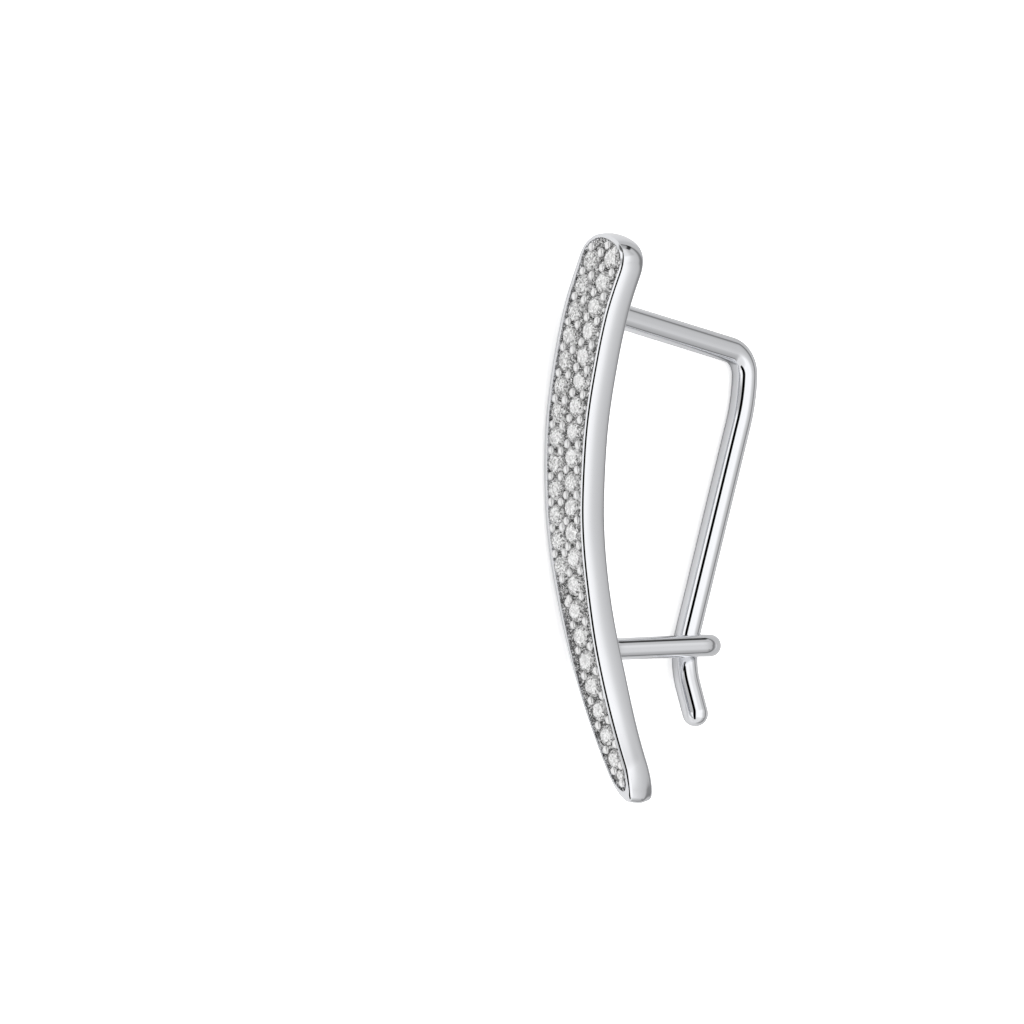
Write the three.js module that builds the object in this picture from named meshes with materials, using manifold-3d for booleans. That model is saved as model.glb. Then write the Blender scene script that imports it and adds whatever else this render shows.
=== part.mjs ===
// Ear climber: a curved, tapering bar with a paved face, worn up the edge of the ear. A wire hook goes
// from the back of its wide end through the pierced lobe and springs into a catch near its tip.
//
// Millimetres. The pieces are built upright: x runs across the bar, y from its face to its back and
// z from its tip to its wide end. The finished group is then laid down the way the jewel lies by itself.

import * as THREE from "three";
import { mergeVertices } from "three/addons/utils/BufferGeometryUtils.js";
import Module from "manifold-3d";

const wasm = await Module();
wasm.setup();

// ---- the bar ----
// Its front outline is two arcs that close in towards the tip. Each end is half an ellipse, whose
// length is stretch times the half width there. The angles are seen from the sweep's centre.
const OUTER_EDGE = { radius: 29, x: 26.87, z: 14.2 };
const INNER_EDGE = { radius: 31.3, x: 31.7, z: 12.2 };
const SWEEP_CENTRE = { x: 29.29, z: 13.2 };
const TIP = { angle: -26, stretch: 3 };
const TOP = { angle: 21, stretch: 0.92 };
const BAR_DEPTH = 1.25;
const FACE_ROUND = 0.14;
const BACK_ROUND = 0.1;
const WALL_CROWN = 0.03;
// Where the bar is narrow its rounds shrink to this share of its half width.
const NARROW_ROUND = 0.8;
// Seen from the side the bar is straight in the middle and both ends lean back.
const LEAN = { z: 13.9, flat: 1.1, slope: 0.09, ease: 0.22 };

// ---- the paved face ----
const RIM = 0.27;
const PLAIN_TIP = 0.7;
const RECESS_DEPTH = 0.6;
const PAVE_GAP = 0.12;
const PAVE_BELOW_RIM = 0.05;
const PAVE_THICKNESS = 0.25;
// The recess is cut from this far in front of the face.
const CUT_FROM = -1;

// ---- the hook and its catch: round wire, that stays hidden behind the bar when seen from the front ----
const HOOK_X = -0.4;
const HOOK_RADIUS = 0.53;
const HOOK_BENDS = [
  { x: HOOK_X, y: 1.19, z: 20.98, bend: 0 },
  { x: HOOK_X, y: 10.14, z: 18.98, bend: 1.1 },
  { x: HOOK_X, y: 10.02, z: 17.0, bend: 8 },
  { x: HOOK_X, y: 6.38, z: 6.05, bend: 5 },
  { x: 0.35, y: 6.35, z: 3.75, bend: 0 },
];
const CATCH_RADIUS = 0.45;
const CATCH_CLEARANCE = 0.06;
const CATCH_START = { y: 1.2, z: 6.47 };
const CATCH_END_Z = 6.63;
const CATCH_WRAP = 100;

// ---- how it lies: on the outer edge of the bar and the side of its hook ----
const LIE = { roll: -8.09, pitch: 1.48 };

// ---- fineness of the facets ----
const BODY_STATIONS = 34;
const END_STATIONS = 5;
const ROUND_STEPS = 2;
const WIRE_SIDES = 12;
const WIRE_STEP = 0.42;
const BEND_STEP = THREE.MathUtils.degToRad(15);
// Corners closer than this are one corner.
const MERGE_WITHIN = 1e-4;

const { degToRad } = THREE.MathUtils;

// Distance from the sweep's centre to an edge arc, along the ray at this angle.
function reach(edge, angle) {
  const toward = { x: -Math.cos(angle), z: Math.sin(angle) };
  const off = { x: edge.x - SWEEP_CENTRE.x, z: edge.z - SWEEP_CENTRE.z };
  const along = toward.x * off.x + toward.z * off.z;
  return along + Math.sqrt(along ** 2 - off.x ** 2 - off.z ** 2 + edge.radius ** 2);
}

// How far the bar has leaned back at height z.
function leanBack(z) {
  const past = Math.max(0, Math.abs(z - LEAN.z) - LEAN.flat);
  return Math.hypot(LEAN.ease, LEAN.slope * past) - LEAN.ease;
}

// Mid-line radius and half width of the outline, drawn in by inset, at one angle of the sweep.
function outlineAt(angle, inset) {
  const outer = reach(OUTER_EDGE, angle) - inset;
  const inner = reach(INNER_EDGE, angle) + inset;
  return { middle: (outer + inner) / 2, half: (outer - inner) / 2 };
}

// The stations of a sweep from tip to top: angle, mid-line radius and half width. The sweep keeps
// inset clear of both edges and of the top, and plain clear of the tip.
function stations(inset, plain) {
  const list = [];
  const add = (angle, share) => {
    const { middle, half } = outlineAt(angle, inset);
    list.push({ angle, middle, half: half * share });
  };
  const endOf = ({ angle, stretch }, margin, side) => {
    const { middle, half } = outlineAt(degToRad(angle), inset);
    return { start: degToRad(angle) + (side * margin) / middle, span: (side * stretch * half) / middle };
  };
  const addRound = ({ start, span }, step) => {
    const phase = (step / (END_STATIONS + 1)) * (Math.PI / 2);
    add(start + span * (1 - Math.cos(phase)), Math.sin(phase));
  };
  const tip = endOf(TIP, plain, 1);
  const top = endOf(TOP, inset, -1);
  for (let i = 1; i <= END_STATIONS; i += 1) {
    addRound(tip, i);
  }
  const from = tip.start + tip.span;
  const to = top.start + top.span;
  for (let i = 0; i <= BODY_STATIONS; i += 1) {
    add(from + (to - from) * (i / BODY_STATIONS), 1);
  }
  for (let i = END_STATIONS; i >= 1; i -= 1) {
    addRound(top, i);
  }
  return list;
}

// One closed body through rings of equal length, each a list of { across, y } round the section.
function sweep(inset, plain, sectionAt) {
  const points = [];
  const triangles = [];
  const rings = stations(inset, plain).map(({ angle, middle, half }) =>
    sectionAt(half).map(({ across, y }) => {
      const radius = middle + across;
      const x = SWEEP_CENTRE.x - radius * Math.cos(angle);
      const z = SWEEP_CENTRE.z + radius * Math.sin(angle);
      return new THREE.Vector3(x, y + leanBack(z), z);
    }),
  );
  const sides = rings[0].length;
  rings.forEach((ring) => ring.forEach((point) => points.push(point.x, point.y, point.z)));
  for (let r = 0; r + 1 < rings.length; r += 1) {
    for (let i = 0; i < sides; i += 1) {
      const a = r * sides + i;
      const b = r * sides + ((i + 1) % sides);
      triangles.push(a, b + sides, b, a, a + sides, b + sides);
    }
  }
  const last = (rings.length - 1) * sides;
  for (let i = 1; i + 1 < sides; i += 1) {
    triangles.push(0, i, i + 1, last, last + i + 1, last + i);
  }
  const geometry = new THREE.BufferGeometry();
  geometry.setAttribute("position", new THREE.Float32BufferAttribute(points, 3));
  geometry.setIndex(triangles);
  return geometry;
}

// Section of the bar: rounded at its four edges, its side walls a little crowned.
function barSection(half) {
  const width = half - WALL_CROWN * Math.min(1, half);
  const face = Math.min(FACE_ROUND, NARROW_ROUND * width);
  const back = Math.min(BACK_ROUND, NARROW_ROUND * width);
  const corners = [
    { side: 1, y: face, round: face, from: -90, crownNext: true },
    { side: 1, y: BAR_DEPTH - back, round: back, from: 0, crownNext: false },
    { side: -1, y: BAR_DEPTH - back, round: back, from: 90, crownNext: true },
    { side: -1, y: face, round: face, from: 180, crownNext: false },
  ];
  return corners.flatMap(({ side, y, round, from, crownNext }) => {
    const arc = [];
    for (let i = 0; i <= ROUND_STEPS; i += 1) {
      const turn = degToRad(from + (90 * i) / ROUND_STEPS);
      arc.push({ across: side * (width - round) + round * Math.cos(turn), y: y + round * Math.sin(turn) });
    }
    return crownNext ? [...arc, { across: side * half, y: BAR_DEPTH / 2 }] : arc;
  });
}

// Square section between two depths behind the face.
function slabSection(half, front, back) {
  return [
    { across: -half, y: front },
    { across: half, y: front },
    { across: half, y: back },
    { across: -half, y: back },
  ];
}

// The centre line of a bent wire: straight between its corners, each rounded to its bend radius.
function bentLine(corners) {
  const line = [corners[0].point];
  for (let i = 1; i + 1 < corners.length; i += 1) {
    const { point, bend } = corners[i];
    const before = corners[i - 1].point.clone().sub(point).normalize();
    const after = corners[i + 1].point.clone().sub(point).normalize();
    const opening = before.angleTo(after);
    const turn = Math.PI - opening;
    const centre = before.clone().add(after).normalize().multiplyScalar(bend / Math.sin(opening / 2));
    const axis = after.clone().cross(before).normalize();
    const touch = before.clone().multiplyScalar(bend / Math.tan(opening / 2)).sub(centre);
    const steps = Math.max(2, Math.round(turn / BEND_STEP));
    for (let k = 0; k <= steps; k += 1) {
      const spoke = touch.clone().applyAxisAngle(axis, (turn * k) / steps);
      line.push(point.clone().add(centre).add(spoke));
    }
  }
  line.push(corners.at(-1).point);
  return line;
}

// Round wire along a centre line, with a ball at its free end.
function wire(line, radius) {
  const path = new THREE.CurvePath();
  for (let i = 0; i + 1 < line.length; i += 1) {
    path.add(new THREE.LineCurve3(line[i], line[i + 1]));
  }
  const circle = new THREE.Shape();
  circle.absarc(0, 0, radius, 0, 2 * Math.PI);
  const tube = new THREE.ExtrudeGeometry(circle, {
    extrudePath: path,
    steps: Math.ceil(path.getLength() / WIRE_STEP),
    curveSegments: WIRE_SIDES,
  });
  const ball = new THREE.SphereGeometry(radius, WIRE_SIDES, WIRE_SIDES / 2);
  ball.translate(...line.at(-1).toArray());
  return solid(tube).add(solid(ball));
}

// A closed three.js geometry as a solid that can be cut and joined.
function solid(geometry) {
  const bare = geometry.clone();
  bare.deleteAttribute("normal");
  bare.deleteAttribute("uv");
  const merged = mergeVertices(bare, MERGE_WITHIN);
  const mesh = new wasm.Mesh({
    numProp: 3,
    vertProperties: new Float32Array(merged.attributes.position.array),
    triVerts: new Uint32Array(merged.index.array),
  });
  mesh.merge();
  return new wasm.Manifold(mesh);
}

function pieceOf(body, name, look) {
  const mesh = body.getMesh();
  const geometry = new THREE.BufferGeometry();
  geometry.setAttribute("position", new THREE.BufferAttribute(mesh.vertProperties, 3));
  geometry.setIndex(new THREE.BufferAttribute(mesh.triVerts, 1));
  geometry.computeVertexNormals();
  const piece = new THREE.Mesh(geometry, new THREE.MeshStandardMaterial(look));
  piece.name = name;
  return piece;
}

// ---- the setting: bar, hook and catch, soldered into one ----
function hookLine() {
  return bentLine(HOOK_BENDS.map(({ x, y, z, bend }) => ({ point: new THREE.Vector3(x, y, z), bend })));
}

// The point of a falling centre line at height z.
function pointAtHeight(line, z) {
  const next = line.findIndex((point) => point.z < z);
  const above = line[next - 1];
  const below = line[next];
  return above.clone().lerp(below, (above.z - z) / (above.z - below.z));
}

// The catch runs beside the hook and wraps round behind it.
function catchArm() {
  const wrap = HOOK_RADIUS + CATCH_RADIUS + CATCH_CLEARANCE;
  const held = pointAtHeight(hookLine(), CATCH_END_Z);
  const line = [new THREE.Vector3(held.x + wrap, CATCH_START.y, CATCH_START.z)];
  const steps = Math.round(degToRad(CATCH_WRAP) / BEND_STEP);
  for (let k = 0; k <= steps; k += 1) {
    const turn = (degToRad(CATCH_WRAP) * k) / steps;
    line.push(new THREE.Vector3(held.x + wrap * Math.cos(turn), held.y + wrap * Math.sin(turn), held.z));
  }
  return wire(line, CATCH_RADIUS);
}

function setting() {
  const bar = solid(sweep(0, 0, barSection));
  const recess = solid(sweep(RIM, PLAIN_TIP, (half) => slabSection(half, CUT_FROM, RECESS_DEPTH)));
  const body = bar
    .subtract(recess)
    .add(wire(hookLine(), HOOK_RADIUS))
    .add(catchArm());
  return pieceOf(body, "bar_hook_and_catch", { color: "#d7d8dc", roughness: 0.08, metalness: 1 });
}

function pavedFace() {
  const back = PAVE_BELOW_RIM + PAVE_THICKNESS;
  const inset = RIM + PAVE_GAP;
  const body = solid(sweep(inset, PLAIN_TIP + PAVE_GAP, (half) => slabSection(half, PAVE_BELOW_RIM, back)));
  return pieceOf(body, "paved_face", { color: "#eceef2", roughness: 0.2, metalness: 0.4 });
}

// Lays the upright jewel down, and puts the middle of its underside at the origin.
function laidDown(pieces) {
  const upright = new THREE.Group();
  upright.add(...pieces);
  upright.rotation.set(0, -Math.PI / 2, 0);
  const rolled = new THREE.Group();
  rolled.add(upright);
  rolled.rotation.set(degToRad(LIE.roll), degToRad(LIE.pitch), 0);
  const whole = new THREE.Group();
  whole.add(rolled);
  const box = new THREE.Box3().setFromObject(whole, true);
  const middle = box.getCenter(new THREE.Vector3());
  whole.position.set(-middle.x, -middle.y, -box.min.z);
  return whole;
}

export default laidDown([setting(), pavedFace()]);
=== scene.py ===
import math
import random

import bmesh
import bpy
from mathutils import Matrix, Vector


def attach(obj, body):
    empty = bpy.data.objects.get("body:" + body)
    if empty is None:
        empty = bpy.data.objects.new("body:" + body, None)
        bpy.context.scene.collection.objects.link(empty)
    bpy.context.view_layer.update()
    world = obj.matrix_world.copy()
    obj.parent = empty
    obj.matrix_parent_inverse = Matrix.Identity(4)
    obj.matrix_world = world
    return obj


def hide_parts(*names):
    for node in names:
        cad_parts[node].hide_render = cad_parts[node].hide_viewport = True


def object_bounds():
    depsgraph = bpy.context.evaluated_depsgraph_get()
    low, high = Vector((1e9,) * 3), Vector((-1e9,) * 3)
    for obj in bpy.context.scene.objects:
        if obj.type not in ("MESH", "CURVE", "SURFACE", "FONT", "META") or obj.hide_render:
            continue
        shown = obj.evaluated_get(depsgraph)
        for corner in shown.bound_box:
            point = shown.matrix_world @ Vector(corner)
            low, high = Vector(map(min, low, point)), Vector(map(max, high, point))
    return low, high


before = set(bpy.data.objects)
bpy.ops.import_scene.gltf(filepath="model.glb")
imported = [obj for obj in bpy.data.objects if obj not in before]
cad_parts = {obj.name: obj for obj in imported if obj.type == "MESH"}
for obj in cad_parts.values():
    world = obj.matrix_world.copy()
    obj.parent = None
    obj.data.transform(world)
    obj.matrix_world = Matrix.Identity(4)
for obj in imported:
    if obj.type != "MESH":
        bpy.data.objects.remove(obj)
cad_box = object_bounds()

# Ear climber in rhodium-plated silver: a curved, tapering bar with a paved face, a bent ear wire on
# its back and a small catch that holds the end of the wire.
#
# The pieces are modelled upright and in millimetres: x runs across the bar, y from its face to its
# back and z from its tip to its wide end. Each is then laid down in the frame, in metres.

chance = random.Random(7)
PER_METRE = 1000
# Points closer than this are one.
SEAM = 1e-4

# Values with "by", "from" and "to" set in along the bar: nothing at the height "from", all at "to".

# ---- the bar's outline: two arcs that close in towards the tip, and half an ellipse at each end ----
OUTER_EDGE = {"radius": 29.0, "x": 26.87, "z": 14.2}
INNER_EDGE = {"radius": 31.3, "x": 31.7, "z": 12.2}
SWEEP_X, SWEEP_Z = 29.29, 13.2
TIP = {"angle": math.radians(-26), "stretch": 3.0}
TOP = {"angle": math.radians(21), "stretch": 0.92, "inner_corner": 0.78}
BODY_STEPS, END_STEPS = 150, 16
# Seen from the side the bar is straight in the middle and both ends lean back, the top end more.
LEAN = {"z": 13.9, "flat": 1.1, "slope": 0.09, "ease": 0.22}
TOP_LEAN = {"by": 0.2, "from": 20.5, "to": 24}

# ---- the bar's section ----
BAR_DEPTH = 1.25
TIP_DEEPER = {"by": 0.1, "from": 9, "to": 5}
# The wall stands furthest out at "widest", a share of its depth. The outer wall is half as round.
WALL = {"round": 0.194, "widest": 0.684, "outer": 0.5, "steps": 16}
# Each long edge is broken by two arcs that meet at the slope "turn": at the front a soft one with a
# crisp one at the wall, and at the back a crisp one with a soft one at the wall.
FRONT_BREAK = {"soft": 0.42, "crisp": 0.05, "from": math.radians(30), "turn": math.radians(47.5)}
FRONT_TIP = {"by": 0.1, "from": 9, "to": 3.5}
BACK_BREAK = {"crisp": 0.09, "soft": 0.6, "turn": math.radians(77)}
BACK_TIP = {"by": 0.12, "from": 5.5, "to": 2}
BREAK_STEPS = (12, 8)
# The flat back's rings, from its middle out: the share of the width kept, and how far in.
BACK_RINGS = [(0, 0.06), (0.5, 0.06), (1, 0.06), (1, 0.01)]
INNER_OUT = {"by": 0.05, "from": 6, "to": 9}
INNER_SWELL = {"by": 0.05, "rise": (10, 16), "fall": (21, 18)}
# The back edge of each end stands in by this much at full depth.
TIP_ROUND = {"from": 0.4, "length": 0.1}
TOP_ROUND = 0.15

# ---- the rim and the recess inside it ----
RIM = {"outer": 0.3, "inner": 0.232, "top": 0.225, "crisp_share": 0.262}
RIM_TIP = {"by": 0.1, "from": 9, "to": 4}
RIM_TOP = {"from": 22.2, "to": 23.6}
RIM_ROUND, RIM_STEPS = 0.025, 6
PLAIN_TIP = 0.34
RECESS = {"lip": 0.03, "lip_in": 0.004, "draft": 0.02, "depth": 0.62}

# ---- the wires ----
WIRE = {"gap": 0.2, "sides": 40, "ball_steps": 12}
BEND_STEPS = {"least": 24, "per_mm": 6}
HOOK_X = -0.4
HOOK_RADIUS = 0.545
HOOK_BENDS = [
    {"at": (HOOK_X, 1.19, 20.98), "bend": 0},
    {"at": (HOOK_X, 10.18, 18.98), "bend": 1.1},
    {"at": (HOOK_X, 10.08, 17.0), "bend": 7.8},
    {"at": (HOOK_X, 6.44, 6.05), "bend": 5},
    {"at": (0.45, 6.46, 3.75), "bend": 0},
]
HOOK_SOLDER = {"swell": 0.16, "flat": 0.06, "length": 0.5, "power": 2.5}
CATCH_RADIUS = 0.47
CATCH_GAP = 0.025
CATCH_START = {"in": 0.55, "y": 1.3, "z": 6.47}
CATCH_END = {"z": 6.63, "wrap": math.radians(100), "steps": 24}
CATCH_SOLDER = {"swell": 0.05, "at": 0.42, "width": 0.12}

# ---- the stones: two lines, of which one drifts to the middle and goes on to the tip ----
STONE_SIZE = 0.98
TIP_STONES = {"size": 0.88, "from": math.radians(-24), "to": math.radians(-14)}
GIRDLE_DEPTH = 0.15
# A stone is tilted by up to this many degrees each way.
STONE_TILT = 3
INNER_LINE = {"start": math.radians(19.33), "step": math.radians(2.074), "count": 21}
OUTER_LINE = {"start": math.radians(18.39), "step": math.radians(2.031), "count": 13}
INNER_SHARE = -0.35
OUTER_SHARE = 0.44
DRIFT = {"from": math.radians(-5.2), "to": math.radians(-9.8)}
END_STONE = (math.radians(-23.55), 0.0, 0.56)
# The corners of a stone one millimetre wide, from its table down over both girdle rings to its culet.
TABLE_HEIGHT = 0.148
CUT = [
    {"corners": 8, "radius": 0.32, "height": TABLE_HEIGHT, "turned": 0},
    {"corners": 8, "radius": 0.42, "height": 0.085, "turned": 0.5},
    {"corners": 16, "radius": 0.5, "height": 0.012, "turned": 0},
    {"corners": 16, "radius": 0.5, "height": -0.012, "turned": 0},
    {"corners": 8, "radius": 0.12, "height": -0.35, "turned": 0.5},
    {"corners": 1, "radius": 0, "height": -0.446, "turned": 0},
]
# Painted light on the stones' tables, standing in for the light a table sends back: how white each line's
# tables are painted, from and to. The outer line is painted darker.
TABLE_PAINTED_LIGHT = {"outer": (0.2, 0.65), "inner": (0.8, 1.1)}

# A step along the bar, as an angle, that shows which way its face runs.
SHORT_STEP = 0.002

# ---- the beads that hold the stones ----
BEAD_SIZE, BEAD_SPREAD = 0.37, (0.94, 1.04)
BEAD_SHAPE = (0.46, 0.56, 0.4)
BEAD_SUNK = 0.01
BURR_SIZE, BURR_SPREAD = 0.17, (0.85, 1.15)
BURR_ACROSS = 0.56
# The pairs of the inner line stand wider where it is the only one, and closer again at the tip.
INNER_PAIR = {"beside": 0.33, "single": 0.12, "closer": 0.04, "closer_share": 0.8}
PAIR_CLOSES = {"from": math.radians(-14), "to": math.radians(-22)}
OUTER_PAIR = (0.27, -0.34)
# Beads that stand outside the pairs, by angle in degrees and place across: at the top, where the second
# line ends, and at the tip.
LONE_BEADS = [
    (19.39, 0.86), (19.35, 0.2), (20.15, -0.06), (20.05, -0.6),
    (-7.0, 0.53), (-8.95, 0.42), (-22.95, 0.26), (-22.9, -0.25), (-24.2, 0.04),
]

# ---- the ground between the stones ----
GROUND = {"depth": 0.12, "rough": 0.03, "under_rim": 0.02, "along": 470, "across": 50, "end": 12}
SEAT = {"reach": 0.12, "depth": 0.06, "slope": 0.9, "from": 0.04, "to": -0.01}
SEAT_BURR = {"height": 0.05, "out": 0.05, "width": 0.03}

# ---- how it lies, and the view ----
LIE_ROLL = math.radians(-8.09)
LIE_PITCH = math.radians(1.48)
VIEW_TURN = math.radians(47.3)
VIEW_WIDTH = 43.26
VIEW_MIDDLE = {"across": -2.716, "up": 12.294}
LENS = 1000

# ---- the studio, in metres ----
SOFTBOX = {"size": 0.5, "power": 1.3, "height": 0.45}
FLOOR_HALF = 3
# How grey the floor is painted for glossy rays only, as painted shade in the metal's reflections, from the
# side of the jewel near the camera to the far one.
FLOOR_PAINTED_MIRROR_SHADE = {"near": 0.7, "far": 0.46, "from": -0.003, "to": 0.006}

# ---- the white walls round the table: grey values at angles in degrees, as the jewel sees them ----
# Sideways is 0 towards the camera and 90 to the view's right, and rise is 0 level with the camera.
# Leaning is sideways less a share of the rise, one share below the level and another above it.
WALLS_STRENGTH = 1.08
WALLS_LEAN = {"below": -0.22, "above": 0.35}
WALLS = {
    "leaning": [
        (-180, 0.95), (50, 1), (57, 0.98), (60, 0.94), (63, 0.89), (66, 0.81), (69, 0.74), (72, 0.68),
        (76, 0.63), (82, 0.58), (88, 0.54), (94, 0.5), (97, 0.42), (100, 0.25), (106, 0.2), (112, 0.38),
        (118, 0.6), (136, 0.8), (180, 0.9),
    ],
    "rise": [(-60, 0.75), (-42, 0.78), (-31, 0.9), (-28, 1), (50, 1), (60, 0.7)],
}
# How dark the gaps are: the slot that the camera looks through, one high on the right, one left of the
# slot, one low on the right, a faint wide one above it, and one high on the left.
DARK_GAPS = [
    {"sideways": [(-21, 0), (-18, 1), (3, 1), (8, 0)],
     "rise": [(-55, 0), (-50, 1), (55, 1), (60, 0)]},
    {"sideways": [(92, 0), (98, 0.95), (122, 0.9), (132, 0)],
     "rise": [(44, 0), (47.5, 1), (53, 1), (57, 0)]},
    {"sideways": [(-70, 0), (-60, 0.5), (-22, 0.5), (-18, 0)],
     "rise": [(6, 0), (12, 1), (23, 1), (27, 0)]},
    {"sideways": [(91, 0), (94, 1), (99, 1), (103, 0)],
     "rise": [(-36, 0), (-33, 0.55), (-29, 0.55), (-26.5, 0)]},
    {"sideways": [(30, 0), (46, 0.9), (90, 1), (98, 0)],
     "rise": [(24, 0), (30, 0.2), (45, 0.22), (60, 0)]},
    {"sideways": [(-62, 0), (-48, 1), (2, 1), (10, 0)],
     "rise": [(42, 0), (48, 0.85), (64, 0.85), (72, 0)]},
]


def smooth(value, start, end):
    """0 at start, 1 at end, eased at both."""
    share = min(1, max(0, (value - start) / (end - start)))
    return share * share * (3 - 2 * share)


def set_in(change, z):
    """How much of a change there is at a height."""
    return change["by"] * smooth(z, change["from"], change["to"])


# ---------------------------------------------------------------- the frame

def laid_down():
    """The turn that lays the upright jewel down as the frame lies."""
    roll = Matrix.Rotation(LIE_ROLL, 4, "X")
    pitch = Matrix.Rotation(LIE_PITCH - math.pi / 2, 4, "Y")
    return roll @ pitch


# ---------------------------------------------------------------- shapes

def reach(edge, angle):
    """Distance from the sweep's centre to an edge arc, along the ray at this angle."""
    toward = Vector((-math.cos(angle), math.sin(angle)))
    off = Vector((edge["x"] - SWEEP_X, edge["z"] - SWEEP_Z))
    along = toward.dot(off)
    return along + math.sqrt(along ** 2 - off.length_squared + edge["radius"] ** 2)


def middle_and_half(angle):
    """Mid-line radius and half width of the bar at one angle of the sweep."""
    outer, inner = reach(OUTER_EDGE, angle), reach(INNER_EDGE, angle)
    return (outer + inner) / 2, (outer - inner) / 2


def lean_back(z):
    """How far back the bar's face stands at a height."""
    past = max(0, abs(z - LEAN["z"]) - LEAN["flat"])
    return math.hypot(LEAN["ease"], LEAN["slope"] * past) - LEAN["ease"] + set_in(TOP_LEAN, z)


def on_bar(angle, across, depth):
    """A point of the bar: across is positive towards its outer, convex edge."""
    radius = middle_and_half(angle)[0] + across
    z = SWEEP_Z + radius * math.sin(angle)
    return Vector((SWEEP_X - radius * math.cos(angle), depth + lean_back(z), z))


def spots(body=BODY_STEPS, end=END_STEPS):
    """The places along the bar, from the pole of its tip to that of its top: (end, how far along)."""
    phases = [math.pi / 2 * step / end for step in range(end)]
    tip = [("tip", phase) for phase in phases]
    top = [("top", phase) for phase in reversed(phases)]
    return tip + [("body", step / body) for step in range(body + 1)] + top


def station(spot, side, inset=0.0, tip_margin=0.0, top_margin=0.0):
    """(angle, share of the half width) of a spot, on the outline moved in by inset and the margins.
    The top end is squarer on its inner side."""
    part, along = spot
    tip_middle, tip_half = middle_and_half(TIP["angle"])
    top_middle, top_half = middle_and_half(TOP["angle"])
    tip_start = TIP["angle"] + tip_margin / tip_middle
    tip_span = TIP["stretch"] * (tip_half - inset) / tip_middle
    top_start = TOP["angle"] - top_margin / top_middle
    top_span = TOP["stretch"] * (top_half - inset) / top_middle
    if part == "tip":
        return tip_start + tip_span * (1 - math.cos(along)), math.sin(along)
    if part == "top":
        corner = 1 if side > 0 else TOP["inner_corner"]
        return top_start - top_span * (1 - math.cos(along) ** corner), math.sin(along) ** corner
    low, high = tip_start + tip_span, top_start - top_span
    return low + (high - low) * along, 1


def loft(bm, rings):
    """A skin through rings of equal length, each extruded from the one before."""
    place = bm.verts.layers.int.new("place")
    circle = bmesh.ops.create_circle(bm, segments=len(rings[0]), radius=1)["verts"]
    for spot, vert in enumerate(circle):
        vert[place] = spot
        vert.co = rings[0][spot]
    edges = bm.edges[:]
    for ring in rings[1:]:
        grown = bmesh.ops.extrude_edge_only(bm, edges=edges)["geom"]
        edges = [part for part in grown if isinstance(part, bmesh.types.BMEdge)]
        for vert in (part for part in grown if isinstance(part, bmesh.types.BMVert)):
            vert.co = ring[vert[place]]


def piece_of(bm, name, material):
    """Merges the seams of a bmesh, points it outwards, lays it down and makes it an object."""
    bmesh.ops.remove_doubles(bm, verts=bm.verts, dist=SEAM)
    bmesh.ops.recalc_face_normals(bm, faces=bm.faces)
    bmesh.ops.transform(bm, matrix=laid_down(), verts=bm.verts)
    mesh = bpy.data.meshes.new(name)
    bm.to_mesh(mesh)
    bm.free()
    mesh.materials.append(material)
    piece = bpy.data.objects.new(name, mesh)
    bpy.context.collection.objects.link(piece)
    return piece


def settle(pieces):
    """Brings the laid-down pieces to metres, with their box where the frame's box is."""
    corners = [vert.co for piece in pieces for vert in piece.data.vertices]
    low = Vector(min(corner[axis] for corner in corners) for axis in range(3)) / PER_METRE
    high = Vector(max(corner[axis] for corner in corners) for axis in range(3)) / PER_METRE
    goal_low, goal_high = cad_box
    shift = (goal_low + goal_high) / 2 - (low + high) / 2
    shift.z = goal_low.z - low.z
    place = Matrix.Translation(shift) @ Matrix.Scale(1 / PER_METRE, 4)
    for piece in pieces:
        piece.data.transform(place)
    return place


# ---------------------------------------------------------------- the polished bar

def crisp_radius(share, z):
    """Radius where the front break meets the wall: larger along the inner edge, near the tip."""
    return FRONT_BREAK["crisp"] + set_in(FRONT_TIP, z) * (1 - share) / 2


def back_radius(z):
    """Radius of the round at the back edge: larger near the tip."""
    return BACK_BREAK["crisp"] + set_in(BACK_TIP, z)


def two_arcs(start, turn, end):
    """Two arcs from a flat to the wall, by their slopes. Each point is two pairs, in from the wall and
    down from the flat, and each pair counts in the radii of the two arcs."""
    path = []
    first, second = BREAK_STEPS
    for step in range(first + 1):
        slope = start + (turn - start) * step / first
        path.append(((math.sin(slope) - math.sin(start), 0), (math.cos(start) - math.cos(slope), 0)))
    along, down = path[-1][0][0], path[-1][1][0]
    for step in range(1, second + 1):
        slope = turn + (end - turn) * step / second
        path.append(((along, math.sin(slope) - math.sin(turn)), (down, math.cos(turn) - math.cos(slope))))
    full = path[-1][0]
    return [((full[0] - a, full[1] - b), deep) for (a, b), deep in path]


def bulge(share):
    """How far the wall stands in from its widest line, at a share of its depth."""
    return WALL["round"] * (share - WALL["widest"]) ** 2


def wall_slope(share):
    """The wall's slope from the flat, at a share of its depth."""
    return math.pi / 2 - math.atan(2 * WALL["round"] * abs(share - WALL["widest"]) / BAR_DEPTH)


def rim_rows():
    """The rows of the rounded edge inside the rim, and of the recess down to its floor."""
    rows = []
    for step in range(RIM_STEPS + 1):
        turn = math.pi / 2 * step / RIM_STEPS
        inset, depth = RIM_ROUND * (math.sin(turn) - 1), RIM_ROUND * (1 - math.cos(turn))
        rows.append({"inset": inset, "depth": depth})
    rows.append({"inset": RECESS["lip_in"], "depth": RIM_ROUND + RECESS["lip"]})
    rows += [{"keep": keep, "inset": RECESS["draft"], "depth": RECESS["depth"]} for keep in (1, 0)]
    return [{"rim": 1, "plain": PLAIN_TIP, **row} for row in rows]


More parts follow.
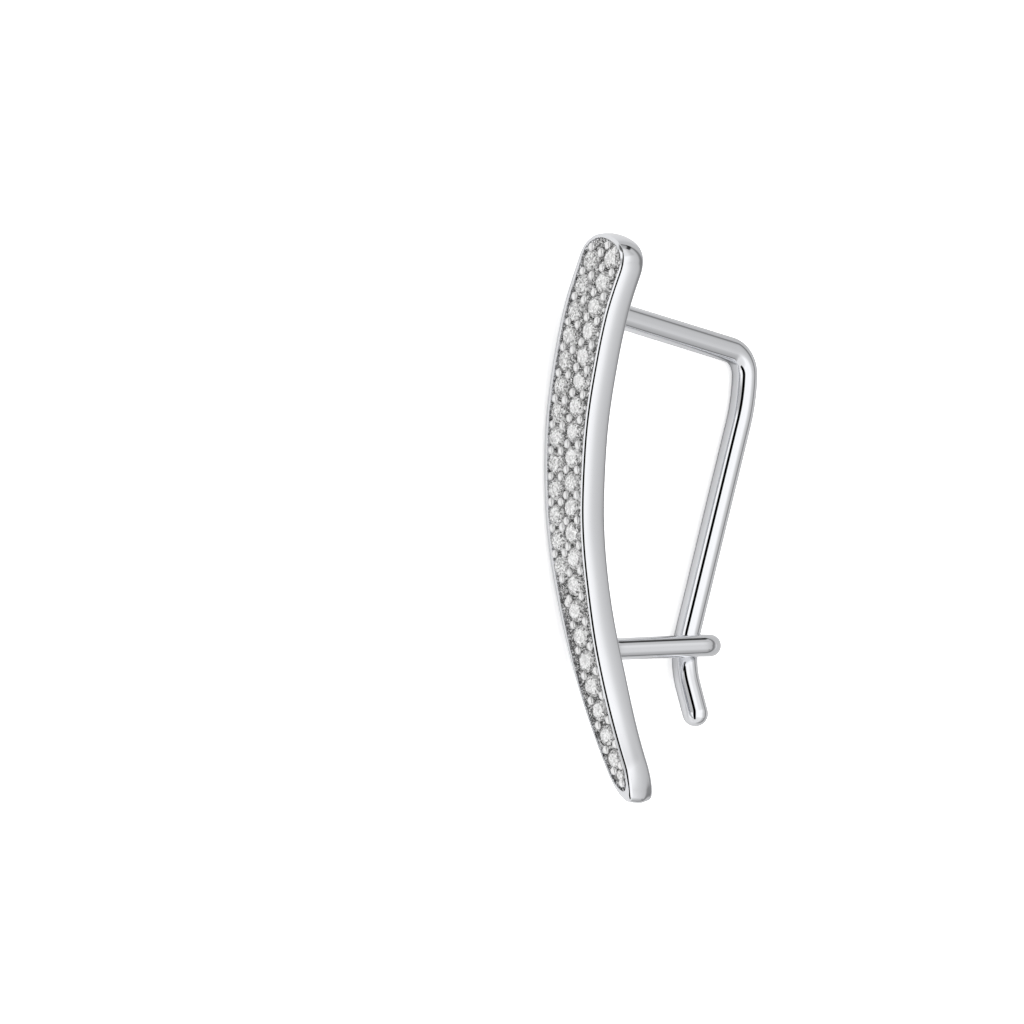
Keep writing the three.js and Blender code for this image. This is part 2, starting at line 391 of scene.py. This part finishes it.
def bar_profile():
    """The section from the middle of the back, round the wall, over the rim to the recess floor.
    Lengths are in millimetres, and the pairs count in the radii of the front and back rounds."""
    backs = two_arcs(0, BACK_BREAK["turn"], wall_slope(1))
    fronts = two_arcs(FRONT_BREAK["from"], FRONT_BREAK["turn"], wall_slope(0))[::-1]
    back_in, back_up = backs[0][0], backs[-1][1]
    wall_top = fronts[0][1]
    rows = [
        {"keep": keep, "inset": inset, "wall": bulge(1), "back_in": back_in, "depth": BAR_DEPTH}
        for keep, inset in BACK_RINGS
    ]
    rows += [
        {"wall": bulge(1), "back_in": along, "back_up": up, "depth": BAR_DEPTH} for along, up in backs
    ]
    for step in range(1, WALL["steps"]):
        share = 1 - step / WALL["steps"]
        rows.append({
            "wall": bulge(share), "depth": share * BAR_DEPTH,
            "back_up": tuple(share * part for part in back_up),
            "front_deep": tuple((1 - share) * part for part in wall_top),
        })
    rows += [{"wall": bulge(0), "front_in": along, "front_deep": deep} for along, deep in fronts]
    return rows + rim_rows()


def rim_width(share, z):
    """Width of the rim: narrow on the inner side and near the tip, with a width of its own at the top.
    The share is 1 on the outer side and -1 on the inner one."""
    outer = (share + 1) / 2
    sides = RIM["inner"] + (RIM["outer"] - RIM["inner"]) * outer - set_in(RIM_TIP, z) * outer
    broken = RIM["crisp_share"] * (crisp_radius(share, z) - FRONT_BREAK["crisp"])
    return sides + (RIM["top"] - sides) * smooth(z, RIM_TOP["from"], RIM_TOP["to"]) + broken


def inner_out(z):
    """How far the inner side stands out: along all but the tip, and further above the middle."""
    swell = smooth(z, *INNER_SWELL["rise"]) * smooth(z, *INNER_SWELL["fall"])
    return set_in(INNER_OUT, z) + INNER_SWELL["by"] * swell


def bar_point(spot, side, keep=1, rim=0, inset=0.0, wall=0.0, front_in=(0, 0), back_in=(0, 0),
              depth=0.0, front_deep=(0, 0), back_up=(0, 0), plain=0.0):
    """One point of the bar's skin: a row of the section at one spot of the outline."""
    angle, share = station(spot, side)
    z = SWEEP_Z + middle_and_half(angle)[0] * math.sin(angle)
    outward = side * share
    front = Vector((FRONT_BREAK["soft"], crisp_radius(outward, z)))
    back = Vector((back_radius(z), BACK_BREAK["soft"]))
    inset += rim * rim_width(outward, z) + front.dot(front_in) + back.dot(back_in)
    inset += wall * ((1 + WALL["outer"]) / 2 - (1 - WALL["outer"]) / 2 * outward)
    inset -= (1 - outward) / 2 * inner_out(z)
    depth *= 1 + set_in(TIP_DEEPER, z)
    depth += front.dot(front_deep) - back.dot(back_up)
    rounded = smooth(depth, TIP_ROUND["from"], BAR_DEPTH) ** 2 * TIP_ROUND["length"]
    leaned = TOP_ROUND * max(0, depth / BAR_DEPTH) ** 2
    angle, share = station(spot, side, inset, inset + plain + rounded, inset + leaned)
    half = middle_and_half(angle)[1]
    return on_bar(angle, side * (half - inset) * share * keep, depth)


def bar_ring(row):
    """One closed ring: from the tip up the outer side, over the top and down the inner side."""
    places = spots()
    outer = [bar_point(spot, 1, **row) for spot in places]
    inner = [bar_point(spot, -1, **row) for spot in places[1:-1]]
    return outer + inner[::-1]


def polished_bar(material):
    bm = bmesh.new()
    loft(bm, [bar_ring(row) for row in bar_profile()])
    return piece_of(bm, "polished_bar", material)


# ---------------------------------------------------------------- the wires

def bent_line(bends):
    """The centre line of a bent wire: straight between its corners, each rounded to its bend."""
    corners = [Vector(row["at"]) for row in bends]
    line = [corners[0]]
    for before, corner, after, row in zip(corners, corners[1:], corners[2:], bends[1:]):
        back = (before - corner).normalized()
        on = (after - corner).normalized()
        opening = back.angle(on)
        centre = (back + on).normalized() * (row["bend"] / math.sin(opening / 2))
        touch = back * (row["bend"] / math.tan(opening / 2)) - centre
        axis = on.cross(back).normalized()
        steps = max(BEND_STEPS["least"], round(row["bend"] * BEND_STEPS["per_mm"]))
        for step in range(steps + 1):
            turn = Matrix.Rotation((math.pi - opening) * step / steps, 3, axis)
            line.append(corner + centre + turn @ touch)
    return line + [corners[-1]]


def spaced(line, gap):
    """The same line with points no further apart than gap, and none closer than a fifth of it."""
    points = [line[0]]
    for end in line[1:]:
        start = points[-1]
        steps = math.ceil((end - start).length / gap)
        if (end - start).length > gap / 5:
            points += [start.lerp(end, step / steps) for step in range(1, steps + 1)]
    return points


def wire(bm, line, radius, solder):
    """A round wire along a line, with a ball at its free end. Its solder makes it swell: a function
    that says how much it is thicker at a distance from its root."""
    points = spaced(line, WIRE["gap"])
    radii, run = [radius + solder(0)], 0
    for before, point in zip(points, points[1:]):
        run += (point - before).length
        radii.append(radius + solder(run))
    on = (points[-1] - points[-2]).normalized()
    end = points[-1]
    for step in range(1, WIRE["ball_steps"] + 1):
        turn = math.pi / 2 * step / WIRE["ball_steps"]
        points.append(end + on * radius * math.sin(turn))
        radii.append(radius * math.cos(turn))
    turns = [2 * math.pi * side / WIRE["sides"] for side in range(WIRE["sides"])]
    rings = [[points[0]] * WIRE["sides"]]
    out = (points[1] - points[0]).normalized().orthogonal().normalized()
    for before, point, after, size in zip(points[:1] + points, points, points[1:] + points[-1:], radii):
        heading = (after - before).normalized()
        out = (out - heading * out.dot(heading)).normalized()
        over = heading.cross(out)
        rings.append([point + (out * math.cos(t) + over * math.sin(t)) * size for t in turns])
    loft(bm, rings)


def point_at_height(line, z):
    """The point of a falling line at height z."""
    for above, below in zip(line, line[1:]):
        if below.z < z:
            return above.lerp(below, (above.z - z) / (above.z - below.z))


def catch_line():
    """The catch leaves the back of the bar, passes beside the hook and wraps round behind it."""
    wrap = HOOK_RADIUS + CATCH_RADIUS + CATCH_GAP
    held = point_at_height(bent_line(HOOK_BENDS), CATCH_END["z"])
    root = Vector((held.x + wrap - CATCH_START["in"], CATCH_START["y"], CATCH_START["z"]))
    past = Vector((held.x - root.x, held.y - root.y))
    start = math.atan2(past.y, past.x) - math.asin(wrap / past.length) - math.pi / 2
    steps = CATCH_END["steps"]
    turns = [start + (CATCH_END["wrap"] - start) * step / steps for step in range(steps + 1)]
    return [root] + [held + Vector((wrap * math.cos(turn), wrap * math.sin(turn), 0)) for turn in turns]


def hook_solder(run):
    """The hook flares onto the back of the bar."""
    left = 1 - max(0, run - HOOK_SOLDER["flat"]) / HOOK_SOLDER["length"]
    return HOOK_SOLDER["swell"] * max(0, left) ** HOOK_SOLDER["power"]


def catch_solder(run):
    """The catch has a small bead of solder where it comes out of the bar."""
    return CATCH_SOLDER["swell"] * math.exp(-((run - CATCH_SOLDER["at"]) / CATCH_SOLDER["width"]) ** 2)


def ear_hook(material):
    bm = bmesh.new()
    wire(bm, bent_line(HOOK_BENDS), HOOK_RADIUS, hook_solder)
    return piece_of(bm, "ear_hook", material)


def catch_arm(material):
    bm = bmesh.new()
    wire(bm, catch_line(), CATCH_RADIUS, catch_solder)
    return piece_of(bm, "catch_arm", material)


# ---------------------------------------------------------------- the paved face

def drift_share(angle):
    """1 where the stones lie in two lines, 0 where the inner line has come to the middle."""
    return 1 - smooth(angle, DRIFT["from"], DRIFT["to"])


def inner_across(angle):
    return INNER_SHARE * middle_and_half(angle)[1] * drift_share(angle)


def outer_across(angle):
    return OUTER_SHARE * middle_and_half(angle)[1]


def line_angles(line):
    """The angles of a line's stones."""
    return [line["start"] - step * line["step"] for step in range(line["count"])]


def gap_angles(line):
    """The angles halfway between a line's stones."""
    return [line["start"] - (step + 0.5) * line["step"] for step in range(line["count"] - 1)]


def stone_places():
    """(angle, across, size) of every stone."""
    inner = [(angle, inner_across(angle)) for angle in line_angles(INNER_LINE)]
    outer = [(angle, outer_across(angle)) for angle in line_angles(OUTER_LINE)]
    places = []
    for angle, across in inner + outer:
        room = smooth(angle, TIP_STONES["from"], TIP_STONES["to"])
        share = TIP_STONES["size"] + (1 - TIP_STONES["size"]) * room
        places.append((angle, across, STONE_SIZE * share))
    return places + [END_STONE]


def bead_places():
    """(angle, across, size) of every raised bead: a pair between each two stones of a line, the lone
    ones, and a burr between each stone of the inner line and the rim."""
    beads = [(math.radians(angle), across) for angle, across in LONE_BEADS]
    for angle in gap_angles(INNER_LINE):
        middle = inner_across(angle)
        closes = smooth(angle, PAIR_CLOSES["from"], PAIR_CLOSES["to"])
        wider = INNER_PAIR["single"] * (1 - drift_share(angle)) * (1 - INNER_PAIR["closer_share"] * closes)
        beads.append((angle, middle + INNER_PAIR["beside"] - INNER_PAIR["closer"] * closes))
        beads.append((angle, middle - INNER_PAIR["beside"] - wider))
    for angle in gap_angles(OUTER_LINE):
        beads += [(angle, outer_across(angle) + beside) for beside in OUTER_PAIR]
    beads = [(angle, across, BEAD_SIZE * chance.uniform(*BEAD_SPREAD)) for angle, across in beads]
    for angle in line_angles(INNER_LINE):
        if angle > DRIFT["from"]:
            size = BURR_SIZE * chance.uniform(*BURR_SPREAD)
            beads.append((angle, inner_across(angle) - BURR_ACROSS, size))
    return beads


def facing(angle, across, depth):
    """Where a stone or bead sits: its own z axis comes out of the face."""
    here = on_bar(angle, across, depth)
    along = (on_bar(angle + SHORT_STEP, across, depth) - here).normalized()
    out = Vector((0, -1, 0))
    out = (out - along * out.dot(along)).normalized()
    beside = along.cross(out)
    turn = Matrix((beside, along, out)).transposed().to_4x4()
    return Matrix.Translation(here) @ turn


def brilliant(bm, place, size, white):
    """A round brilliant: table, stars, kites, girdle and pavilion, as the hull of its corners.
    The table's face is marked with how white it is painted: painted light, because it lights up as one."""
    mark = bm.faces.layers.float.get("table") or bm.faces.layers.float.new("table")
    verts = []
    for row in CUT:
        for side in range(row["corners"]):
            turn = 2 * math.pi * (side + row["turned"]) / row["corners"]
            corner = (row["radius"] * math.cos(turn), row["radius"] * math.sin(turn), row["height"])
            verts.append(bm.verts.new(corner))
    bmesh.ops.convex_hull(bm, input=verts)
    for face in {face for vert in verts for face in vert.link_faces}:
        face[mark] = white * (face.calc_center_median().z > TABLE_HEIGHT - SEAM)
    turned = place @ Matrix.Rotation(chance.uniform(0, math.pi / 4), 4, "Z") @ Matrix.Scale(size, 4)
    bmesh.ops.transform(bm, matrix=turned, verts=verts)


def pave_stones(material):
    bm = bmesh.new()
    for angle, across, size in stone_places():
        line = "outer" if across > outer_across(angle) / 2 else "inner"
        # painted light on this stone's table, drawn at random within its line's range
        white = chance.uniform(*TABLE_PAINTED_LIGHT[line])
        place = facing(angle, across, GIRDLE_DEPTH)
        for axis in "XY":
            tilt = math.radians(chance.uniform(-STONE_TILT, STONE_TILT))
            place = place @ Matrix.Rotation(tilt, 4, axis)
        brilliant(bm, place, size, white)
    return piece_of(bm, "pave_stones", material)


def pave_beads(material):
    bm = bmesh.new()
    for angle, across, size in bead_places():
        place = facing(angle, across, GROUND["depth"] - BEAD_SUNK)
        shape = Matrix.Diagonal([size * share for share in BEAD_SHAPE] + [1])
        bmesh.ops.create_icosphere(bm, subdivisions=2, radius=1, matrix=place @ shape)
    for face in bm.faces:
        face.smooth = True
    return piece_of(bm, "pave_beads", material)


def seat_depth(depth, away, radius):
    """The ground's depth near a stone: a cone-shaped seat under it and a burr round the seat."""
    cut = SEAT["depth"] + max(0, radius - away) * SEAT["slope"]
    seated = GROUND["depth"] + cut * smooth(away, radius + SEAT["from"], radius + SEAT["to"])
    from_burr = (away - radius - SEAT_BURR["out"]) / SEAT_BURR["width"]
    return max(depth, seated) - SEAT_BURR["height"] * math.exp(-from_burr ** 2)


def pave_ground(material):
    """The metal between the stones: a skin across the recess with a seat for each stone, and the marks
    of the graver on what stands between them."""
    along, end = GROUND["along"], GROUND["end"]
    bm = bmesh.new()
    bmesh.ops.create_grid(bm, x_segments=along, y_segments=GROUND["across"], size=1)
    places = spots(along - 2 * end, end)
    edge = {"rim": 1, "inset": -GROUND["under_rim"], "plain": PLAIN_TIP}
    seats = [(on_bar(angle, across, 0), size / 2) for angle, across, size in stone_places()]
    for vert in bm.verts:
        spot = places[round((vert.co.x + 1) / 2 * along)]
        inner, outer = (bar_point(spot, side, **edge) for side in (-1, 1))
        flat = inner.lerp(outer, (vert.co.y + 1) / 2)
        depth = GROUND["depth"] + chance.uniform(-GROUND["rough"], GROUND["rough"])
        for seat, radius in seats:
            away = math.hypot(flat.x - seat.x, flat.z - seat.z)
            if away < radius + SEAT["reach"]:
                depth = seat_depth(depth, away, radius)
        vert.co = flat + Vector((0, depth, 0))
    return piece_of(bm, "pave_ground", material)


# ---------------------------------------------------------------- materials

def linear(colour):
    """An sRGB hex colour as linear red, green, blue and alpha."""
    parts = [int(colour[spot:spot + 2], 16) / 255 for spot in (1, 3, 5)]
    return [p / 12.92 if p <= 0.04045 else ((p + 0.055) / 1.055) ** 2.4 for p in parts] + [1]


def node(tree, kind, inputs=None, stops=(), **settings):
    """Adds a node with its settings. An input that is given a socket is linked to it, and stops are
    the places and grey values of a colour ramp."""
    made = tree.nodes.new(kind)
    for name, value in settings.items():
        setattr(made, name, value)
    elements = made.color_ramp.elements if stops else ()
    while len(elements) < len(stops):
        elements.new(1)
    for element, (place, grey) in zip(elements, stops):
        element.position = place
        element.color = (grey, grey, grey, 1)
    for name, value in (inputs or {}).items():
        if isinstance(value, bpy.types.NodeSocket):
            tree.links.new(value, made.inputs[name])
        else:
            made.inputs[name].default_value = value
    return made


def material_of(name, surface):
    """A material whose nodes are made by surface, which gives back the socket to show."""
    material = bpy.data.materials.new(name)
    material.use_nodes = True
    tree = material.node_tree
    tree.nodes.clear()
    node(tree, "ShaderNodeOutputMaterial", {"Surface": surface(tree)})
    return material


def mirror_silver(tree):
    """Sterling silver plated with rhodium and mirror-polished: a cool white metal that shows its
    surroundings sharply, with the faint waviness that a buffing wheel leaves."""
    wave_width, wave_depth, haze_width = 1.6, 0.0012, 0.5
    place = node(tree, "ShaderNodeTexCoord").outputs["Object"]
    waves = node(tree, "ShaderNodeTexNoise", {
        "Vector": place, "Scale": PER_METRE / wave_width, "Detail": 1.0,
    })
    relief = node(tree, "ShaderNodeBump", {
        "Height": waves.outputs["Fac"], "Distance": wave_depth / PER_METRE, "Strength": 1.0,
    })
    haze = node(tree, "ShaderNodeTexNoise", {
        "Vector": place, "Scale": PER_METRE / haze_width, "Detail": 3.0,
    })
    rough = node(tree, "ShaderNodeMapRange", {"Value": haze.outputs["Fac"], "To Min": 0.02, "To Max": 0.06})
    return node(tree, "ShaderNodeBsdfPrincipled", {
        "Base Color": linear("#f1f2f5"), "Metallic": 1.0,
        "Roughness": rough.outputs["Result"], "Normal": relief.outputs["Normal"],
    }).outputs["BSDF"]


def cut_ground(tree):
    """The same silver where the graver has cut it up between the stones. The way each small cut catches the
    light or throws it away is painted into the base colour as grey and white flecks: painted glints and
    painted shade, over a faint bump."""
    sparkle_cell_width, fleck_width, fleck_depth = 0.06, 0.09, 0.03
    place = node(tree, "ShaderNodeTexCoord").outputs["Object"]
    painted_sparkle_cells = node(tree, "ShaderNodeTexVoronoi", {"Vector": place, "Scale": PER_METRE / sparkle_cell_width})
    tone = node(tree, "ShaderNodeSeparateColor", {"Color": painted_sparkle_cells.outputs["Color"]})
    # painted glints and painted shade: the cells' grey values go into the metal's base colour
    grey = node(
        tree, "ShaderNodeValToRGB", {"Fac": tone.outputs["Red"]},
        stops=[(0, 0.1), (0.3, 0.22), (0.6, 0.48), (0.85, 0.9), (1, 1)],
    )
    flecks = node(tree, "ShaderNodeTexNoise", {
        "Vector": place, "Scale": PER_METRE / fleck_width, "Detail": 2.0,
    })
    relief = node(tree, "ShaderNodeBump", {
        "Height": flecks.outputs["Fac"], "Distance": fleck_depth / PER_METRE, "Strength": 1.0,
    })
    return node(tree, "ShaderNodeBsdfPrincipled", {
        "Base Color": grey.outputs["Color"], "Metallic": 1.0, "Roughness": 0.25,
        "Normal": relief.outputs["Normal"],
    }).outputs["BSDF"]


def bead_silver(tree):
    """Beads raised with a graver and burnished round: small bright domes."""
    dent_width, dent_depth = 0.2, 0.006
    place = node(tree, "ShaderNodeTexCoord").outputs["Object"]
    dents = node(tree, "ShaderNodeTexNoise", {
        "Vector": place, "Scale": PER_METRE / dent_width, "Detail": 1.0,
    })
    relief = node(tree, "ShaderNodeBump", {
        "Height": dents.outputs["Fac"], "Distance": dent_depth / PER_METRE, "Strength": 1.0,
    })
    return node(tree, "ShaderNodeBsdfPrincipled", {
        "Base Color": linear("#ffffff"), "Metallic": 1.0, "Roughness": 0.34,
        "Normal": relief.outputs["Normal"],
    }).outputs["BSDF"]


def zirconia(tree):
    """Cubic zirconia, machine-cut as a round brilliant: clear, with sharp facets. Through the crown the
    facets beneath show many times over, in light and dark specks; these are painted reflections, drawn as
    grey cells in the base colour that are coarse enough to show. The table sends most of the light back, so
    it is painted whiter and calmer."""
    speck_width, speck_depth = 0.065, 0.03
    table = node(tree, "ShaderNodeAttribute", attribute_name="table").outputs["Fac"]
    place = node(tree, "ShaderNodeTexCoord").outputs["Object"]
    specks = node(tree, "ShaderNodeTexVoronoi", {"Vector": place, "Scale": PER_METRE / speck_width})
    tone = node(tree, "ShaderNodeSeparateColor", {"Color": specks.outputs["Color"]})
    darkest = node(tree, "ShaderNodeMapRange", {"Value": table, "To Min": 0.02, "To Max": 0.5})
    # painted reflections: grey base colour from the cells, with a lighter floor on the tables as painted
    # light
    grey = node(tree, "ShaderNodeMapRange", {
        "Value": tone.outputs["Red"], "To Min": darkest.outputs["Result"], "To Max": 0.98,
    })
    calm = node(tree, "ShaderNodeMapRange", {"Value": table, "To Min": 0.8, "To Max": 0.1})
    relief = node(tree, "ShaderNodeBump", {
        "Height": specks.outputs["Distance"], "Distance": speck_depth / PER_METRE,
        "Strength": calm.outputs["Result"],
    })
    return node(tree, "ShaderNodeBsdfPrincipled", {
        "Base Color": grey.outputs["Result"], "Roughness": 0.0, "IOR": 2.16, "Transmission Weight": 0.15,
        "Normal": relief.outputs["Normal"],
    }).outputs["BSDF"]


def studio_paper(tree):
    """Matt white paper. For glossy rays only it is painted greyer, more so on the far side, as painted shade
    in the polished metal's reflections.
    """
    paper = node(tree, "ShaderNodeBsdfPrincipled", {
        "Base Color": linear("#fafafa"), "Roughness": 0.95, "Specular IOR Level": 0.1,
        "Emission Color": linear("#ffffff"), "Emission Strength": 0.55,
    })
    place = node(tree, "ShaderNodeTexCoord").outputs["Object"]
    away = node(tree, "ShaderNodeSeparateXYZ", {"Vector": place})
    side = node(tree, "ShaderNodeMapRange", {
        "Value": away.outputs["Y"], "From Min": FLOOR_PAINTED_MIRROR_SHADE["from"], "From Max": FLOOR_PAINTED_MIRROR_SHADE["to"],
    })
    grey = node(
        tree, "ShaderNodeValToRGB", {"Fac": side.outputs["Result"]},
        stops=[(0, FLOOR_PAINTED_MIRROR_SHADE["near"]), (1, FLOOR_PAINTED_MIRROR_SHADE["far"])],
    )
    # painted shade: the grey that only the metal's reflections see
    painted_mirror_shade = node(tree, "ShaderNodeBsdfDiffuse", {"Color": grey.outputs["Color"]})
    seen = node(tree, "ShaderNodeLightPath").outputs["Is Glossy Ray"]
    return node(tree, "ShaderNodeMixShader", {
        0: seen, 1: paper.outputs["BSDF"], 2: painted_mirror_shade.outputs["BSDF"],
    }).outputs["Shader"]


# ---------------------------------------------------------------- studio

def view_axes():
    """The view's right, up and towards-the-camera directions in the frame."""
    turn = laid_down().to_3x3()
    right = turn @ Vector((math.cos(VIEW_TURN), math.sin(VIEW_TURN), 0))
    up = turn @ Vector((0, 0, 1))
    toward = turn @ Vector((math.sin(VIEW_TURN), -math.cos(VIEW_TURN), 0))
    return right, up, toward


def camera(place):
    right, up, toward = view_axes()
    data = bpy.data.cameras.new("camera")
    data.lens = LENS
    data.clip_end = 10
    eye = bpy.data.objects.new("camera", data)
    bpy.context.collection.objects.link(eye)
    across = VIEW_MIDDLE["across"]
    aim = Vector((across * math.cos(VIEW_TURN), across * math.sin(VIEW_TURN), VIEW_MIDDLE["up"]))
    distance = LENS * VIEW_WIDTH / data.sensor_width / PER_METRE
    eye.location = place @ (laid_down() @ aim) + toward * distance
    eye.rotation_mode = "QUATERNION"
    eye.rotation_quaternion = Matrix((right, up, toward)).transposed().to_quaternion()
    bpy.context.scene.camera = eye


def ray_angles(tree):
    """The angles of the way a ray goes, as shares of a turn from -180 to 180 degrees."""
    way = node(tree, "ShaderNodeTexCoord").outputs["Generated"]
    right, up, toward = (
        node(tree, "ShaderNodeVectorMath", {0: way, 1: axis}, operation="DOT_PRODUCT").outputs["Value"]
        for axis in view_axes()
    )
    sideways = node(tree, "ShaderNodeMath", {0: right, 1: toward}, operation="ARCTAN2").outputs[0]
    rise = node(tree, "ShaderNodeMath", {0: up}, operation="ARCSINE").outputs[0]
    below, above = (
        node(tree, "ShaderNodeMath", {0: rise, 1: WALLS_LEAN[part]}, operation="MULTIPLY").outputs[0]
        for part in ("below", "above")
    )
    lean = node(tree, "ShaderNodeMath", {0: below, 1: above}, operation="MAXIMUM").outputs[0]
    leaning = node(tree, "ShaderNodeMath", {0: sideways, 1: lean}, operation="SUBTRACT").outputs[0]
    shares = {}
    for name, angle in (("sideways", sideways), ("rise", rise), ("leaning", leaning)):
        share = node(tree, "ShaderNodeMapRange", {"Value": angle, "From Min": -math.pi, "From Max": math.pi})
        shares[name] = share.outputs["Result"]
    return shares


def patch(tree, shares, rows):
    """The product of the grey values over two of the angles."""
    greys = []
    for name, row in rows.items():
        stops = [((angle + 180) / 360, grey) for angle, grey in row]
        made = node(tree, "ShaderNodeValToRGB", {"Fac": shares[name]}, stops=stops)
        greys.append(made.outputs["Color"])
    return node(tree, "ShaderNodeMath", {0: greys[0], 1: greys[1]}, operation="MULTIPLY").outputs[0]


def surround():
    """White walls all round the table, with the dark gaps that a polished wire shows as lines."""
    world = bpy.data.worlds.new("studio")
    bpy.context.scene.world = world
    world.use_nodes = True
    tree = world.node_tree
    tree.nodes.clear()
    shares = ray_angles(tree)
    light = patch(tree, shares, WALLS)
    for gap in DARK_GAPS:
        dark = patch(tree, shares, gap)
        left = node(tree, "ShaderNodeMath", {0: 1.0, 1: dark}, operation="SUBTRACT").outputs[0]
        light = node(tree, "ShaderNodeMath", {0: light, 1: left}, operation="MULTIPLY").outputs[0]
    shade = node(tree, "ShaderNodeBackground", {"Color": light, "Strength": WALLS_STRENGTH})
    node(tree, "ShaderNodeOutputWorld", {"Surface": shade.outputs["Background"]})


def floor(material):
    bm = bmesh.new()
    bmesh.ops.create_grid(bm, x_segments=1, y_segments=1, size=FLOOR_HALF)
    mesh = bpy.data.meshes.new("floor")
    bm.to_mesh(mesh)
    bm.free()
    mesh.materials.append(material)
    ground = bpy.data.objects.new("floor", mesh)
    bpy.context.collection.objects.link(ground)


def softbox():
    """A large overhead light that keeps the floor near white and the shadows soft."""
    data = bpy.data.lights.new("softbox", "AREA")
    data.size = SOFTBOX["size"]
    data.energy = SOFTBOX["power"]
    lamp = bpy.data.objects.new("softbox", data)
    lamp.location = (0, 0, SOFTBOX["height"])
    lamp.visible_glossy = False
    bpy.context.collection.objects.link(lamp)


silver = material_of("rhodium_plated_silver_mirror_polished", mirror_silver)
metal_pieces = [polished_bar(silver), ear_hook(silver), catch_arm(silver)]
pave_pieces = [
    pave_ground(material_of("graver_cut_silver_painted_sparkle", cut_ground)),
    pave_beads(material_of("burnished_silver_bead", bead_silver)),
    pave_stones(material_of("cubic_zirconia_brilliant_cut", zirconia)),
]
for piece in metal_pieces:
    piece.data.polygons.foreach_set("use_smooth", [True] * len(piece.data.polygons))
to_frame = settle(metal_pieces + pave_pieces)

for piece in metal_pieces:
    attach(piece, "root")
    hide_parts("bar_hook_and_catch")
for piece, slot in zip(pave_pieces, ("silver", "silver", "pave")):
    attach(piece, "root")
    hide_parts("paved_face")

camera(to_frame)
surround()
softbox()
floor(material_of("studio_paper", studio_paper))
bpy.context.scene.view_settings.view_transform = "Standard"
